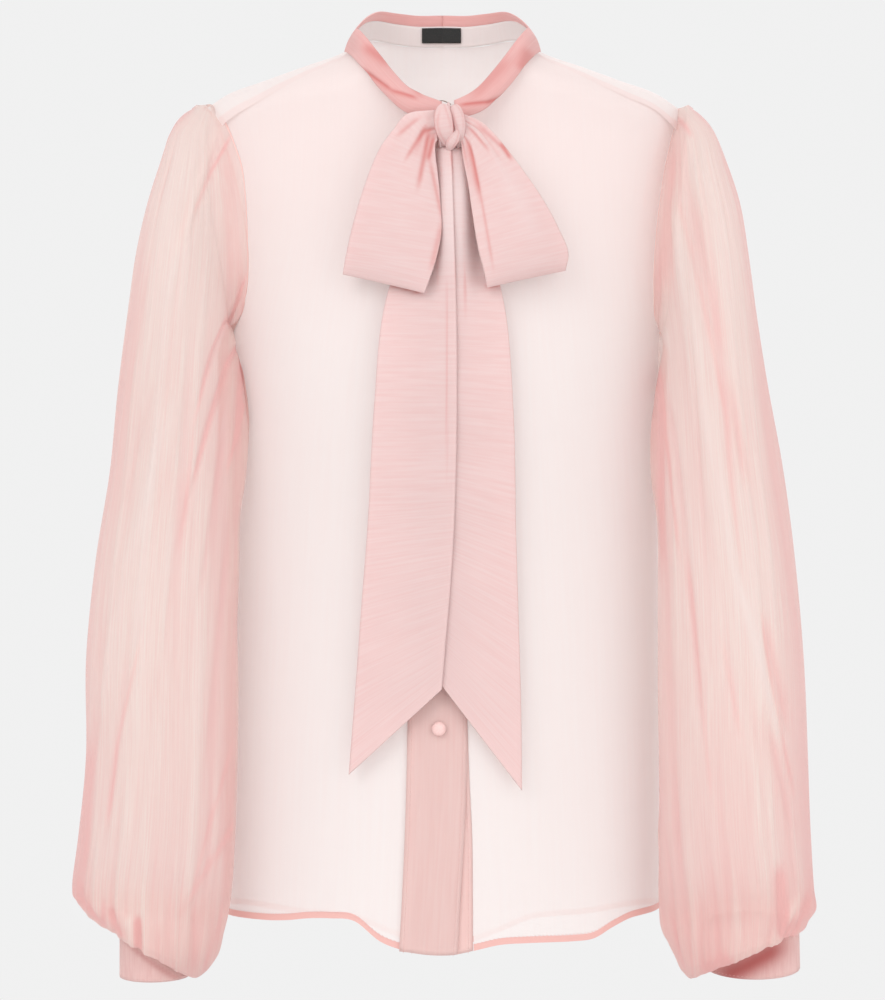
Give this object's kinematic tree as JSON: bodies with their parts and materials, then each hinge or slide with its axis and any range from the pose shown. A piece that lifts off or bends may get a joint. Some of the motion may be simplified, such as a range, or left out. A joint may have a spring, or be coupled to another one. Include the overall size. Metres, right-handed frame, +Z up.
{
  "type": "tie neck blouse",
  "caption": "Sheer pale pink blouse with a bow-tied neck, balloon sleeves gathered into narrow cuffs, a covered-button front and an empty, open body.",
  "frame": {"origin": "where the wearer's shoulders hold the blouse up: on the middle plane, level with the side of the neck", "axes": "+Z up towards the neck, -Y out of the blouse's front, +X towards the wearer's left sleeve"},
  "size_m": [0.5295, 0.2559, 0.7111],
  "materials": {
    "body_cloth": "sheer pale pink silk crepon, fine crinkle, nearly opaque over itself",
    "sleeve_cloth": "the same crepon in one layer, sheerer, beige pink",
    "band_cloth": "the same crepon doubled, more saturated pink",
    "tie_cloth": "the same crepon doubled, soft sheen",
    "cuff_cloth": "the same crepon in several layers, deepest pink",
    "button_cloth": "cloth-covered button, soft pink",
    "label_black": "woven black ribbon, bare",
    "wire_bronze": "dark bronze wire"
  },
  "bodies": {
    "root": {"front_right": "body_cloth", "front_left": "body_cloth", "back": "body_cloth", "placket_top": "band_cloth", "placket_under": "band_cloth", "sleeve_right": "sleeve_cloth", "sleeve_left": "sleeve_cloth", "cuff_right": "cuff_cloth", "cuff_left": "cuff_cloth", "neckband": "band_cloth", "tie_band_right": "tie_cloth", "tie_band_left": "tie_cloth", "knot": "tie_cloth", "loop_right": "tie_cloth", "loop_left": "tie_cloth", "tail_right": "tie_cloth", "tail_left": "tie_cloth", "button_1": "button_cloth", "button_2": "button_cloth", "button_3": "button_cloth", "button_4": "button_cloth", "button_5": "button_cloth", "cuff_button_right": "button_cloth", "cuff_button_left": "button_cloth", "label": "label_black", "neck_hook": "wire_bronze"}
  },
  "joints": []
}
